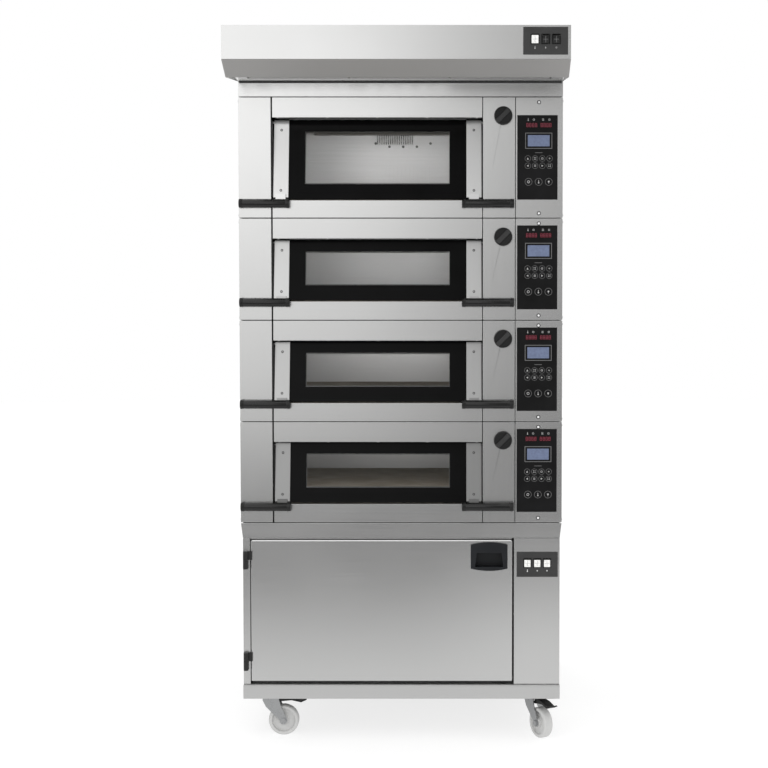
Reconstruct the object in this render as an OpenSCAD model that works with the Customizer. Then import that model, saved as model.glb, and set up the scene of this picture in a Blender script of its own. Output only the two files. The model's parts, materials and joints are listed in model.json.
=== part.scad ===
// Bakery oven stack: four oven decks on a proofing cabinet with casters, under an extraction hood.
// Millimetres. The origin is on the floor at the centre of the footprint.
// +X is the user's right, +Y is the back and +Z is up, so the fronts of all the modules face -Y.

/* [Body] */
// Width of the oven decks and of the hood
body_w = 1046; // [1036:2:1060]
// Depth of the oven decks, from front panel to back panel
body_d = 1110; // [1100:10:1150]
// Thickness of the casing sheet
sheet = 2; // [1.5:0.5:2]
// Gap between two sheets at a folded seam
seam = 0.4; // [0.3:0.1:0.6]

/* [Decks] */
// Height of each of the three lower decks
low_deck_h = 330; // [322:1:340]
// Height of the top deck, which has the tall chamber
tall_deck_h = 389; // [380:1:420]
// Height of the steel header above each oven door
header_h = 66; // [60:1:70]
// Height of the steel sill below the doors of the lower decks
low_sill_h = 61; // [58:1:64]
// Height of the steel sill below the top deck's door
tall_sill_h = 57.5; // [55:0.5:62]
// Lean of a closed oven door, with its foot out
door_tilt = 10; // [8:1:12]
// Diameter of the steam vent knob
knob_d = 60; // [50:2:64]
// Diameter of the door grips
grip_d = 28; // [24:1:30]

/* [Proofing cabinet] */
// Width of the cabinet
prover_w = 1034; // [1024:2:1036]
// Height of the cabinet, from the base to the lowest deck
prover_h = 534; // [520:2:544]
// Number of tray levels
tray_levels = 5; // [3:1:5]
// Height from one tray level to the next
tray_pitch = 70; // [60:1:70]

/* [Base and casters] */
// Width of the base frame
base_w = 1036; // [1032:2:1040]
// Height of the base frame
base_h = 46; // [44:1:50]
// Diameter of the caster wheels
wheel_d = 100; // [98:1:101]
// Height from the floor to the base frame
caster_h = 138; // [136:1:142]

/* [Hood] */
// How far the hood reaches out in front of the doors
hood_over = 376; // [340:4:420]
// Height of the hood's upright front
hood_face_h = 101; // [90:1:110]
// Height of the slanted panel under the upright front
hood_slope_h = 44; // [40:1:55]
// Height of the collar between the top deck and the hood
collar_h = 49; // [40:1:60]
// How far the hood's front lip hangs below its underside
lip_drop = 19; // [10:1:24]
// Outer diameter of the exhaust spigot
spigot_d = 150; // [120:10:180]

/* [Hidden] */
$fn = 48;
DECKS = [1, 2, 3, 4];
SWITCHES = [1, 2, 3];
CORNERS = ["front_left", "front_right", "rear_left", "rear_right"];

steel = "#b9bab9";
bright_steel = "#d4d5d4";
dark_plastic = "#2b2c2e";
black_glass = "#151617";
grey_nylon = "#d2d3d1";
red_plastic = "#8e2f35";
rubber_grey = "#4a4b4c";
stone_buff = "#b8ab96";
lit_white = "#f4f4f0";

joint = 1.2;              // half of the gap between two stacked fronts
contact = 0.02;           // gap left under a part that rests on a face
hw = body_w / 2;
gland_len = 28;
switch_out = 8.6;         // how far the hood's rockers stand out
front = hood_over + switch_out - (body_d + hood_over + gland_len + switch_out) / 2;
back = front + body_d;
base_z = caster_h;
prover_z = base_z + base_h;
prover_top = prover_z + prover_h;
collar_z = prover_top + 3 * low_deck_h + tall_deck_h;
hood_z = collar_z + collar_h;
lip_z = hood_z - lip_drop;
hood_top = lip_z + hood_slope_h + hood_face_h;
hood_front = front - hood_over;

// Across the front of a deck: left column, door bay, vent column, control column
bay_l = -hw + 109.3;
bay_r = 263.4;
left_gap = 4.8;            // seam between the left column and the door bay
vent_gap = 2.6;            // seam between the door bay and the vent column
vent_col_r = 369.2;
ctrl_col_l = 371.4;
jamb_t = 3;
jamb_back = 90;
jamb_clear = 1;

// An oven door, in its own frame: hinge axis along X, the leaf hangs down -Z, its outside faces -Y
door_l = bay_l + 3;
door_r = bay_r - 3;
stile_w = 48;
bar_front = -12;
glass_front = -6;
glass_back = 0;
bar_back = 10;
door_over_hinge = 8;
pin_r = 5;
pin_len = 7.4;
running = 0.05;
hinge_drop = 78;           // hinge axis below the deck's top
foot_gap = 3.2;            // gap between the glass's lower edge and the sill
GRIP_Z = [54, 58, 58, 47]; // height of each deck's grips above its bottom
grip_out = 16;
lug_in = 8;
lug_top = 78;
seat_y = 10.5;             // the seat behind the closed leaf
seat_t = 3;
mouth_y = seat_y + seat_t + 0.4;

// The oven chamber
cham_l = -396;
cham_r = 244;
cham_roof_drop = 38;
lintel_drop = 82;          // lower edge of the lintel over the chamber's mouth
hearth_top = 68;
hearth_t = 18;
cham_back = front + 930;
wall_t = 3;
element_r = 4;

// The vent shaft and the flue
knob_x = 330.8;
knob_drop = 60;
vent_y = back - 210;
duct_half = 18;            // half of the square branch duct's bore
flap_half = 17.4;
shaft_r = 5;
flue_l = 372;
flue_w = 80;
flue_half = 40;

// The cabinet's door and cavity
phw = prover_w / 2;
strip_w = 23;
pdoor_l = -phw + strip_w + 3;
pdoor_r = 361.6;
bay_plate_l = 367.6;
bay_wall_x = bay_plate_l - 3.6;
pdoor_z0 = prover_z + 12;
pdoor_z1 = prover_top - 60;
bridge_z = prover_top - 50;
pdoor_out = 0.5;           // the leaf stands this far proud of the casing
pdoor_t = 44;
cav_l = -474;
cav_r = 340;
cav_z0 = prover_z + 34;
cav_z1 = prover_top - 84;
cav_y0 = front + 58;
cav_y1 = back - 60;
phinge_x = -phw + 9;
phinge_y = front - 9;
phinge_r = 8;
phinge_len = 58;
PHINGE_Z = [prover_z + 78, prover_top - 122];
tray_w = 600;
tray_x = -67;

// The recessed handle of the cabinet's door
handle_w = 120;
handle_h = 94;
handle_bow = 7.5;
handle_x = pdoor_r - 15 - handle_w / 2;
handle_z = pdoor_z1 - 4 - handle_h / 2;

// The rocker switch plates
plate_w = 134;
plate_h = 82;
plate_t = 3;
rocker_w = 20;
rocker_h = 24;
rocker_pitch = 32;
rocker_up = 5;
rocker_lean = 8;
PROVER_PLATE = [443.5, front, prover_top - 137];
HOOD_PLATE = [hw - 9 - plate_w / 2, hood_front, hood_top - 6 - plate_h / 2];

// Control panels of the decks
keypad_w = 130;
keypad_h = 271;
keypad_t = 2.5;
keypad_x = 441;
screw_x = 446;

// Casters
caster_in_x = 81;
caster_in_y = 72;
trail = 44;
wheel_w = 32;
fork_in = 19;
fork_t = 3;
seal_z = caster_h - 10.5;
crown_z = seal_z - 1;
plate_half_x = 52;
plate_half_y = 42;
king_r = 8;
axle_r = 6;
pedal_pivot = [30, crown_z - 10];
// Heading of each caster's trail, seen from above
HEADING = [0, -60, 20, 35];

function deck_h(k) = k == 4 ? tall_deck_h : low_deck_h;
function deck_z(k) = prover_top + (k - 1) * low_deck_h;
function deck_top(k) = deck_z(k) + deck_h(k);
function hinge_z(k) = deck_top(k) - hinge_drop;
function sill_h(k) = k == 4 ? tall_sill_h : low_sill_h;
function grip_z(k) = deck_z(k) + GRIP_Z[k - 1];
function leaf_drop(k) = hinge_z(k) - deck_z(k) - sill_h(k) - foot_gap;
function leaf_len(k) = leaf_drop(k) / cos(door_tilt);
function hinge_y(k) = front + 8 + leaf_drop(k) * tan(door_tilt);
function mouth_at(k, z) = hinge_y(k) + mouth_y / cos(door_tilt) + (z - hinge_z(k)) * tan(door_tilt);
function roof_z(k) = deck_top(k) - cham_roof_drop;
function vent_z(k) = deck_top(k) - knob_drop;
function keypad_z(k) = deck_top(k) - (k == 4 ? 58.5 : 23.5) - keypad_h / 2;
function caster_x(i) = (i % 2 == 0 ? -1 : 1) * (base_w / 2 - caster_in_x);
function caster_y(i) = i < 2 ? front + caster_in_y : back - caster_in_y;

// A box between any two opposite corners
module slab(a, b) translate([for (i = [0:2]) min(a[i], b[i])]) cube([for (i = [0:2]) abs(b[i] - a[i])]);

// A rod along X between two ends, in either order
module rod_x(x0, x1, y, z, r)
  translate([min(x0, x1), y, z]) rotate([0, 90, 0]) cylinder(r = r, h = abs(x1 - x0));

// A rod along Y between two ends, in either order
module rod_y(x, y0, y1, z, r)
  translate([x, min(y0, y1), z]) rotate([-90, 0, 0]) cylinder(r = r, h = abs(y1 - y0));

// A profile in the Y-Z plane, extruded along X from x0 to x1
module along_x(x0, x1) translate([x0, 0, 0]) rotate([90, 0, 90]) linear_extrude(x1 - x0) children();

// A profile in the X-Z plane, extruded along Y from y0 to y1
module along_y(y0, y1) translate([0, y1, 0]) rotate([90, 0, 0]) linear_extrude(y1 - y0) children();

// ---------- base and casters ----------

module base_frame() color(steel) {
  b = base_w / 2;
  y0 = front - 6;
  y1 = back;
  slab([-b, y0, prover_z - 3], [b, y1, prover_z]);
  for (y = [y0, y1 - 3]) slab([-b, y, base_z], [b, y + 3, prover_z - 3 - seam]);
  for (x = [-b, b - 3]) slab([x, y0 + 3 + seam, base_z], [x + 3, y1 - 3 - seam, prover_z - 3 - seam]);
  for (i = [0:3]) translate([caster_x(i), caster_y(i), 0]) {
    slab([-62, -60, base_z], [62, 60, base_z + 4]);
    for (x = [-62, 59]) slab([x, -60, base_z + 4 + seam], [x + 3, 60, prover_z - 3 - seam]);
  }
}

module caster_plates() color(bright_steel) for (i = [0:3]) translate([caster_x(i), caster_y(i), 0]) {
  difference() {
    slab([-plate_half_x, -plate_half_y, caster_h - 4], [plate_half_x, plate_half_y, caster_h]);
    translate([0, 0, caster_h - 5]) cylinder(r = king_r + running, h = 6);
  }
  for (x = [-1, 1], y = [-1, 1]) translate([x * (plate_half_x - 12), y * (plate_half_y - 12), caster_h - 7.5])
    cylinder(r = 7.5, h = 4, $fn = 6);
}

module caster_seals() color(red_plastic) for (i = [0:3])
  translate([caster_x(i), caster_y(i), seal_z]) difference() {
    cylinder(r = 28, h = caster_h - 4.3 - seal_z);
    translate([0, 0, -1]) cylinder(r = 20, h = 20);
  }

// Puts a caster's own frame (swivel axis at x = 0, wheel trailing along +X) at corner i
module at_caster(i) translate([caster_x(i), caster_y(i), 0]) rotate([0, 0, HEADING[i]]) children();

module leg_outline() {
  polygon([[-24, crown_z], [-25, crown_z - 8], [-14, crown_z - 30], [trail - 13, wheel_d / 2 + 2],
           [trail + 13, wheel_d / 2 + 2], [34, crown_z - 24], [28, crown_z]]);
  translate([trail, wheel_d / 2]) circle(r = 13);
}

module caster_fork(i) color(bright_steel) at_caster(i) {
  for (y = [-fork_in - fork_t, fork_in]) along_y(y, y + fork_t) leg_outline();
  slab([-24, -fork_in - 1, crown_z - 3], [28, fork_in + 1, crown_z]);
  translate([0, 0, crown_z - 1]) cylinder(r = 17, h = 7);
  translate([0, 0, crown_z - 1]) cylinder(r = king_r, h = caster_h - 0.4 - crown_z + 1);
  rod_y(trail, -fork_in - fork_t - 1, fork_in + fork_t + 1, wheel_d / 2, axle_r);
  for (s = [-1, 1]) translate([trail, s * (fork_in + fork_t + 2.5), wheel_d / 2])
    rotate([90, 0, 0]) cylinder(r = 10, h = 5, center = true, $fn = 6);
}

module caster_wheel(i) color(grey_nylon) at_caster(i) translate([trail, 0, wheel_d / 2])
  rotate([90, 0, 0]) rotate_extrude() {
    r = wheel_d / 2;
    w = wheel_w / 2;
    polygon([[axle_r + running, -w - 1.5], [14, -w - 1.5], [17, -8], [r - 14, -8], [r - 11, -w],
             [r - 4, -w], [r, -w + 5], [r, w - 5], [r - 4, w], [r - 11, w], [r - 14, 8], [17, 8],
             [14, w + 1.5], [axle_r + running, w + 1.5]]);
  }

module brake_pedal(i) color(dark_plastic) at_caster(i) {
  px = pedal_pivot[0];
  pz = pedal_pivot[1];
  along_y(-15, 15) union() {
    polygon([[px - 3, pz + 5], [px + 4, pz + 13], [px + 44, pz + 8], [px + 70, pz - 1], [px + 86, pz + 4],
             [px + 90, pz + 1], [px + 72, pz - 7], [px + 40, pz], [px + 8, pz - 3]]);
    translate([px, pz]) circle(r = 6);
  }
  rod_y(px, -fork_in + 0.5, fork_in - 0.5, pz, 4);
}

// ---------- proofing cabinet ----------

module plate_window(p) translate(p + [0, 0, rocker_up])
  slab([-rocker_pitch * 1.5, -4, -17], [rocker_pitch * 1.5, 10, 17]);

module prover_casing() color(steel) {
  z0 = prover_z;
  z1 = prover_top;
  slab([-phw, front, z0 + sheet], [-phw + strip_w, front + sheet, bridge_z - 1.5]);
  // Bridge strip, which narrows from the decks' width to the cabinet's
  along_y(front, front + sheet)
    polygon([[-phw, bridge_z], [phw, bridge_z], [hw, z1 - joint], [-hw, z1 - joint]]);
  difference() {
    slab([bay_plate_l, front, z0 + sheet], [phw, front + sheet, bridge_z - 1.5]);
    plate_window(PROVER_PLATE);
  }
  for (x = [-phw, phw - sheet])
    slab([x, front + sheet + seam, z0 + sheet], [x + sheet, back - sheet - seam, z1 - joint]);
  slab([-phw, back - sheet, z0 + sheet], [phw, back, z1 - joint]);
  inner = phw - sheet - seam;
  slab([-phw, front, z0], [phw, back, z0 + sheet - seam]);
  slab([-inner, front + sheet + seam, z1 - sheet], [inner, back - sheet - seam, z1]);
  slab([bay_wall_x, front + sheet + seam, z0 + sheet + seam],
       [bay_wall_x + 2, back - sheet - seam, z1 - sheet - seam]);
  // Ring round the cavity's mouth, which the gasket meets
  ring_y = front + 53;
  right = bay_wall_x - seam;
  slab([-inner, ring_y, z0 + sheet + seam], [cav_l, ring_y + sheet, z1 - 40]);
  slab([cav_r, ring_y, z0 + sheet + seam], [right, ring_y + sheet, z1 - 40]);
  slab([cav_l + seam, ring_y, z0 + sheet + seam], [cav_r - seam, ring_y + sheet, cav_z0]);
  slab([cav_l + seam, ring_y, cav_z1], [cav_r - seam, ring_y + sheet, z1 - 40]);
  // Drip rail under the bridge strip
  slab([strip_w + seam - phw, front + 1, bridge_z - 3], [right - 3, front + 40, bridge_z - 1]);
}

module prover_liner() color(bright_steel) {
  slab([cav_l, cav_y0, cav_z0], [cav_l + sheet, cav_y1, cav_z1]);
  slab([cav_r - sheet, cav_y0, cav_z0], [cav_r, cav_y1, cav_z1]);
  for (z = [cav_z0, cav_z1 - sheet])
    slab([cav_l + sheet + seam, cav_y0, z], [cav_r - sheet - seam, cav_y1 - sheet - seam, z + sheet]);
  slab([cav_l + sheet + seam, cav_y1 - sheet, cav_z0], [cav_r - sheet - seam, cav_y1, cav_z1]);
}

module prover_tray_runners() color(bright_steel) for (s = [-1, 1]) {
  edge = tray_x + s * (tray_w / 2 + 4);   // outside of the flange that a tray rests on
  post = edge + s * 5.4;
  post_w = 12;
  flange_w = 22;
  flange_h = 16;
  y0 = cav_y0 + 12;
  y1 = cav_y0 + 832;
  for (y = [y0 + 40, y1 - 60])
    slab([post, y, cav_z0 + sheet], [post + s * post_w, y + 20, cav_z1 - sheet - seam]);
  for (n = [0:tray_levels - 1]) {
    z = cav_z0 + tray_pitch * (n + 1);
    slab([edge, y0, z], [edge - s * flange_w, y1, z + 2]);
    slab([edge + s * seam, y0, z], [post - s * seam, y1, z + flange_h]);
  }
}

pan_l = -190;
pan_r = 50;
pan_y0 = cav_y1 - 270;
pan_y1 = cav_y1 - 30;
pan_z = cav_z0 + sheet + 1;
pan_h = 46;

module prover_water_pan() color(bright_steel) {
  t = 1.5;
  slab([pan_l, pan_y0, pan_z], [pan_r, pan_y1, pan_z + t]);
  for (x = [pan_l, pan_r - t]) slab([x, pan_y0, pan_z + t + seam], [x + t, pan_y1, pan_z + pan_h]);
  for (y = [pan_y0, pan_y1 - t])
    slab([pan_l + t + seam, y, pan_z + t + seam], [pan_r - t - seam, y + t, pan_z + pan_h]);
}

// A heating tube of straight runs along X, joined by short runs along Y at alternate ends
module serpentine(x0, x1, y0, pitch, runs, z, r) {
  faces = 8;
  ends = [x1 - r, x0 + r];
  for (n = [0:runs - 1]) rod_x(x0, x1, y0 + n * pitch, z, r, $fn = faces);
  for (n = [0:runs - 2]) rod_y(ends[n % 2], y0 + n * pitch, y0 + (n + 1) * pitch, z, r, $fn = faces);
}

module prover_heater() color(rubber_grey) {
  serpentine(pan_l + 22, pan_r - 22, pan_y0 + 50, 46, 4, pan_z + 14, element_r);
  // Dry-air element along the cavity's left wall
  translate([cav_l + 14, cav_y0 + 120, cav_z0 + 40]) rotate([90, 0, 90])
    serpentine(0, 560, 0, 60, 3, 0, element_r);
}

module prover_hinge_brackets() color(dark_plastic) for (z = PHINGE_Z) {
  translate([phinge_x, phinge_y, z - phinge_len / 2]) cylinder(r = phinge_r, h = phinge_len / 2 - 0.3);
  translate([phinge_x, phinge_y, z - 5]) cylinder(r = 4, h = phinge_len / 2);
  slab([-phw + 3, phinge_y, z - phinge_len / 2], [-phw + 15, front, z - 0.3]);
}

module prover_door_hinges() color(dark_plastic) for (z = PHINGE_Z) {
  top = z + phinge_len / 2;
  difference() {
    union() {
      translate([phinge_x, phinge_y, z + 0.3]) cylinder(r = phinge_r, h = phinge_len / 2 - 0.3);
      slab([phinge_x, front - 6, z + 0.3], [pdoor_l + 4, front - pdoor_out, top]);
    }
    translate([phinge_x, phinge_y, z - 1]) cylinder(r = 4 + running, h = phinge_len / 2 - 3);
  }
}

module prover_door_panel() color(steel) {
  y0 = front - pdoor_out;
  y1 = front + pdoor_t - 8;
  difference() {
    slab([pdoor_l, y0, pdoor_z0], [pdoor_r, y0 + sheet, pdoor_z1]);
    translate([handle_x, y0 - 1, handle_z]) slab([-52, 0, -38], [52, 10, 38]);
  }
  for (z = [pdoor_z0, pdoor_z1 - sheet])
    slab([pdoor_l, y0 + sheet + seam, z], [pdoor_r, y1, z + sheet]);
  for (x = [pdoor_l, pdoor_r - sheet])
    slab([x, y0 + sheet + seam, pdoor_z0 + sheet + seam], [x + sheet, y1, pdoor_z1 - sheet - seam]);
}

module prover_door_liner() color(bright_steel) {
  skin_y = front + pdoor_t - 7.5;
  slab([pdoor_l + 3, skin_y, pdoor_z0 + 3], [pdoor_r - 3, skin_y + sheet, pdoor_z1 - 3]);
  // Pressed panel inside the gasket
  slab([cav_l + 30, skin_y + sheet + seam, cav_z0 + 24], [cav_r - 30, skin_y + 6.5, cav_z1 - 24]);
}

module prover_door_gasket() color(rubber_grey) {
  y0 = front + pdoor_t - 5.5;
  y1 = front + 52.4;
  w = 13;
  lo = [cav_l - 10, cav_z0 - 12];
  hi = [cav_r + 10, cav_z1 + 12];
  for (z = [lo[1], hi[1] - w]) slab([lo[0], y0, z], [hi[0], y1, z + w]);
  for (x = [lo[0], hi[0] - w]) slab([x, y0, lo[1] + w + seam], [x + w, y1, hi[1] - w - seam]);
}

module handle_outline() {
  bow_r = (pow(handle_w / 2, 2) + pow(handle_bow, 2)) / (2 * handle_bow);
  intersection() {
    square([handle_w, handle_h], center = true);
    translate([0, handle_h / 2 - bow_r]) circle(r = bow_r, $fn = 96);
    translate([0, bow_r - handle_h / 2]) circle(r = bow_r, $fn = 96);
  }
}

module prover_door_handle() color(dark_plastic) translate([handle_x, front - pdoor_out, handle_z]) {
  tub = [51, 30, 37];         // half width, depth and half height of the recess behind the flange
  wall = 3.5;
  difference() {
    union() {
      along_y(-6, 0) handle_outline();
      slab([-tub[0], -0.1, -tub[2]], tub);
    }
    // Mouth of the recess, under the lip that the fingers pull
    along_y(-7, 3) polygon([[-40, 12], [40, 12], [46, -34], [-46, -34]]);
    slab([-tub[0] + wall, 2.5, 3 - tub[2]], [tub[0] - wall, tub[1] - 3, tub[2] - wall]);
  }
}

// ---------- rocker switches ----------

module switch_plate(p) translate(p) difference() {
  slab([-plate_w / 2, -plate_t, -plate_h / 2], [plate_w / 2, 0, plate_h / 2]);
  for (n = [-1:1]) translate([n * rocker_pitch, 0, rocker_up])
    slab([-rocker_w / 2 - 1, -5, -rocker_h / 2 - 2], [rocker_w / 2 + 1, 1, rocker_h / 2 + 2]);
}

module switch_panels() color(dark_plastic) for (p = [PROVER_PLATE, HOOD_PLATE]) switch_plate(p);

function rocker_at(p, n) = p + [(n - 2) * rocker_pitch, 1, rocker_up];

module rocker(p, n) translate(rocker_at(p, n)) rotate([rocker_lean, 0, 0]) {
  h = rocker_h / 2;
  along_x(-rocker_w / 2, rocker_w / 2)
    polygon([[-8, -h], [-6.4, 0], [-8, h], [0, h - 3], [2, 0], [0, 3 - h]]);
  rod_x(-rocker_w / 2 - 0.5, rocker_w / 2 + 0.5, 0, 0, 3);
}

module prover_switch(n) color(lit_white) rocker(PROVER_PLATE, n);

module hood_switch(n) color(n == 1 ? lit_white : dark_plastic) rocker(HOOD_PLATE, n);

// ---------- oven decks ----------

// A level plate with a rectangular hole, made of four strips round the hole
module plate_round(lo, hi, hole_lo, hole_hi) {
  slab(lo, [hole_lo[0], hi[1], hi[2]]);
  slab([hole_hi[0], lo[1], lo[2]], hi);
  slab([hole_lo[0] + seam, lo[1], lo[2]], [hole_hi[0] - seam, hole_lo[1], hi[2]]);
  slab([hole_lo[0] + seam, hole_hi[1], lo[2]], [hole_hi[0] - seam, hi[1], hi[2]]);
}

// A level plate which the flue passes through
module flue_plate(lo, hi) plate_round(lo, hi, [flue_l - 2, vent_y - flue_half - 2],
                                      [flue_l + flue_w + 2, vent_y + flue_half + 2]);

module deck_casing(k) color(steel) {
  z0 = deck_z(k);
  z1 = deck_top(k);
  fz0 = z0 + joint;
  fz1 = z1 - joint;
  slab([-hw, front, fz0], [bay_l - left_gap, front + sheet, fz1]);
  slab([bay_l, front, z1 - header_h], [bay_r, front + sheet, fz1]);
  slab([bay_l, front + sheet + seam, z1 - header_h], [bay_r, front + 24, z1 - header_h + sheet]);
  slab([bay_l, front, fz0], [bay_r, front + sheet, z0 + sill_h(k)]);
  slab([bay_l, front + sheet + seam, z0 + sill_h(k) - sheet], [bay_r, front + 16, z0 + sill_h(k)]);
  difference() {
    slab([bay_r + vent_gap, front, fz0], [vent_col_r, front + sheet, fz1]);
    rod_y(knob_x, front - 1, front + sheet + 1, vent_z(k), shaft_r + 0.6);
  }
  slab([ctrl_col_l, front, fz0], [hw, front + sheet, fz1]);
  for (x = [-hw, hw - sheet])
    slab([x, front + sheet + seam, fz0], [x + sheet, back - sheet - seam, fz1]);
  slab([-hw, back - sheet, fz0], [hw, back, fz1]);
  inner = hw - sheet - seam;
  lo = [-inner, front + sheet + seam];
  hi = [inner, back - sheet - seam];
  flue_plate([lo[0], lo[1], z1 - sheet], [hi[0], hi[1], z1]);
  if (k == 1) slab([lo[0], lo[1], z0], [hi[0], hi[1], z0 + sheet]);
  else flue_plate([lo[0], lo[1], z0], [hi[0], hi[1], z0 + sheet]);
  for (x = [bay_l - jamb_clear - jamb_t, bay_r + jamb_clear]) difference() {
    slab([x, front + sheet + seam, z0 + sheet + seam], [x + jamb_t, front + jamb_back, z1 - sheet - seam]);
    rod_x(x - 1, x + jamb_t + 1, hinge_y(k), hinge_z(k), pin_r + running);
  }
  // Wall between the vent space and the control bay, with the shaft's front bearing
  slab([vent_col_r + 1, front + 20, z0 + sheet + seam],
       [vent_col_r + 3, vent_y - flue_half - 6, z1 - sheet - seam]);
  difference() {
    slab([knob_x - 24, front + 30, vent_z(k) - 20], [vent_col_r + 0.6, front + 34, vent_z(k) + 20]);
    rod_y(knob_x, front + 29, front + 35, vent_z(k), shaft_r + running);
  }
}

// The frame of deck k's door, hanging from its hinge axis
module on_hinge(k) translate([0, hinge_y(k), hinge_z(k)]) rotate([-door_tilt, 0, 0]) children();

module deck_door_frame(k) color(bright_steel) {
  foot = 4 - leaf_len(k);
  for (s = [-1, 1]) {
    out = s < 0 ? door_l : door_r;
    x0 = s < 0 ? out : out - stile_w;
    on_hinge(k) {
      slab([x0, bar_front, foot], [x0 + stile_w, glass_front, door_over_hinge]);
      // The rear stile stops low, so that its top clears the seat as the door opens
      slab([x0, glass_back, foot], [x0 + stile_w, bar_back, 2]);
      rod_x(min(out - s, out + s * pin_len), max(out - s, out + s * pin_len), 0, 0, pin_r);
      for (drop = [28, leaf_len(k) - 27]) rod_y(x0 + stile_w / 2, bar_front - 1, bar_front + 0.1, -drop, 3);
    }
    // Lug that carries the grip
    difference() {
      slab([x0 + lug_in, front - grip_out + 4, grip_z(k)],
           [x0 + stile_w - lug_in, front - 1, deck_z(k) + lug_top]);
      rod_x(x0, x0 + stile_w, front - grip_out, grip_z(k), grip_d / 2 + running);
    }
  }
}

module deck_door_glass(k) color(black_glass) on_hinge(k)
  slab([door_l + 1.2, glass_front + 0.1, -leaf_len(k)], [door_r - 1.2, glass_back - 0.1, door_over_hinge]);

module deck_door_grips(k) color(dark_plastic) {
  z = grip_z(k);
  rod_x(-hw + 3, door_l + stile_w + 4, front - grip_out, z, grip_d / 2);
  rod_x(door_r - stile_w - 14, vent_col_r - 4, front - grip_out, z, grip_d / 2);
}

module deck_vent_knob(k) color(dark_plastic) translate([knob_x, 0, vent_z(k)]) {
  rod_y(0, front - 24, front - 2, 0, knob_d / 2);
  rod_y(0, front - 2, vent_y + duct_half + 6, 0, shaft_r);
  // Raised bar on the knob's face
  bar = [knob_d / 2 - 1.5, 12, 6.5];
  translate([0, front - 24, 0]) rotate([0, -45, 0]) slab([-bar[0], -bar[1], -bar[2]], [bar[0], 1, bar[2]]);
  slab([-1, vent_y - flap_half, -flap_half], [1, vent_y + flap_half, flap_half]);
}

module deck_keypads() color(dark_plastic) for (k = DECKS) translate([keypad_x, front, keypad_z(k)]) {
  top = keypad_h / 2;
  face = -keypad_t;
  dip = 0.8;                  // depth of the display windows, and height of the keys
  key_pitch = 23.4;
  big_pitch = 32.6;
  keys_x = 4;                 // the keys and the display stand a little to the right
  difference() {
    slab([-keypad_w / 2, face, -top], [keypad_w / 2, 0, top]);
    slab([keys_x - 44, face - 1, top - 108], [keys_x + 44, face + dip, top - 56]);
    for (x = [-38, 8]) slab([x, face - 1, top - 41], [x + 39, face + dip, top - 23]);
  }
  for (r = [0, 1], c = [0:3])
    rod_y(keys_x + (c - 1.5) * key_pitch, face - dip, face + 0.1, top - 139 - r * key_pitch, 9.7);
  for (c = [-1:1]) rod_y(keys_x + c * big_pitch, face - dip, face + 0.1, top - 214, 12);
}

function floor_z(k) = deck_z(k) + hearth_top - hearth_t - wall_t;

module oven_chambers() color(steel) for (k = DECKS) {
  zf = floor_z(k);
  zr = roof_z(k);
  zl = deck_top(k) - lintel_drop;
  vz = vent_z(k);
  yf = mouth_at(k, zf);
  yr = mouth_at(k, zl) + 4;
  side = [[yf, zf], [cham_back, zf], [cham_back, zr], [yr, zr], [yr, zl]];
  along_x(cham_l - wall_t, cham_l - seam) polygon(side);
  // Right wall, in pieces round the steam outlet
  x0 = cham_r + seam;
  x1 = cham_r + wall_t;
  cut0 = vent_y - duct_half;
  cut1 = vent_y + duct_half;
  along_x(x0, x1) polygon([[yf, zf], [cut0, zf], [cut0, zr], [yr, zr], [yr, zl]]);
  slab([x0, cut1, zf], [x1, cham_back, zr]);
  slab([x0, cut0 + seam, zf], [x1, cut1 - seam, vz - duct_half]);
  slab([x0, cut0 + seam, vz + duct_half], [x1, cut1 - seam, zr]);
  slab([cham_l, yf + 4, zf], [cham_r, cham_back, zf + wall_t]);
  slab([cham_l, yr + 4, zr - wall_t], [cham_r, cham_back, zr]);
  slab([cham_l, cham_back - wall_t, zf + wall_t + seam], [cham_r, cham_back, zr - wall_t - seam]);
  // Lintel over the mouth
  slab([cham_l, yr, zl], [cham_r, yr + wall_t, zr]);
  // Seat round the mouth, parallel to the closed leaf
  rise = door_over_hinge - 1;
  drop = (hinge_z(k) - zf - hearth_t - wall_t) / cos(door_tilt) - 2;
  on_hinge(k) {
    slab([bay_l - 0.5, seat_y, -drop], [cham_l - seam, seat_y + seat_t, rise]);
    slab([cham_r + seam, seat_y, -drop], [bay_r + 0.5, seat_y + seat_t, rise]);
    slab([cham_l, seat_y, hinge_drop - lintel_drop], [cham_r, seat_y + seat_t, rise]);
  }
  // Bearers under the chamber
  for (y = [yf + 100, cham_back - 130])
    slab([cham_l, y, deck_z(k) + sheet + seam], [cham_r, y + 40, zf - seam]);
  // Louvre of the fan on the back wall of the tall chamber
  if (k == 4) for (n = [0:11]) translate([n * 15 - 95, cham_back - wall_t, zf + 120])
    slab([0, -4, 0], [7, -seam, 62]);
}

module hearth_stones() color(stone_buff) for (k = DECKS) {
  z = floor_z(k) + wall_t;
  y0 = mouth_at(k, z + hearth_t) + 1;
  slab([cham_l + 2, y0, z], [cham_r - 2, cham_back - wall_t - 6, z + hearth_t]);
}

module oven_elements() color(rubber_grey) for (k = DECKS)
  serpentine(x0 = cham_l + 40, x1 = cham_r - 40, y0 = mouth_at(k, roof_z(k)) + 70, pitch = 184, runs = 5,
             z = roof_z(k) - wall_t - 8, r = element_r);

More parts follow.
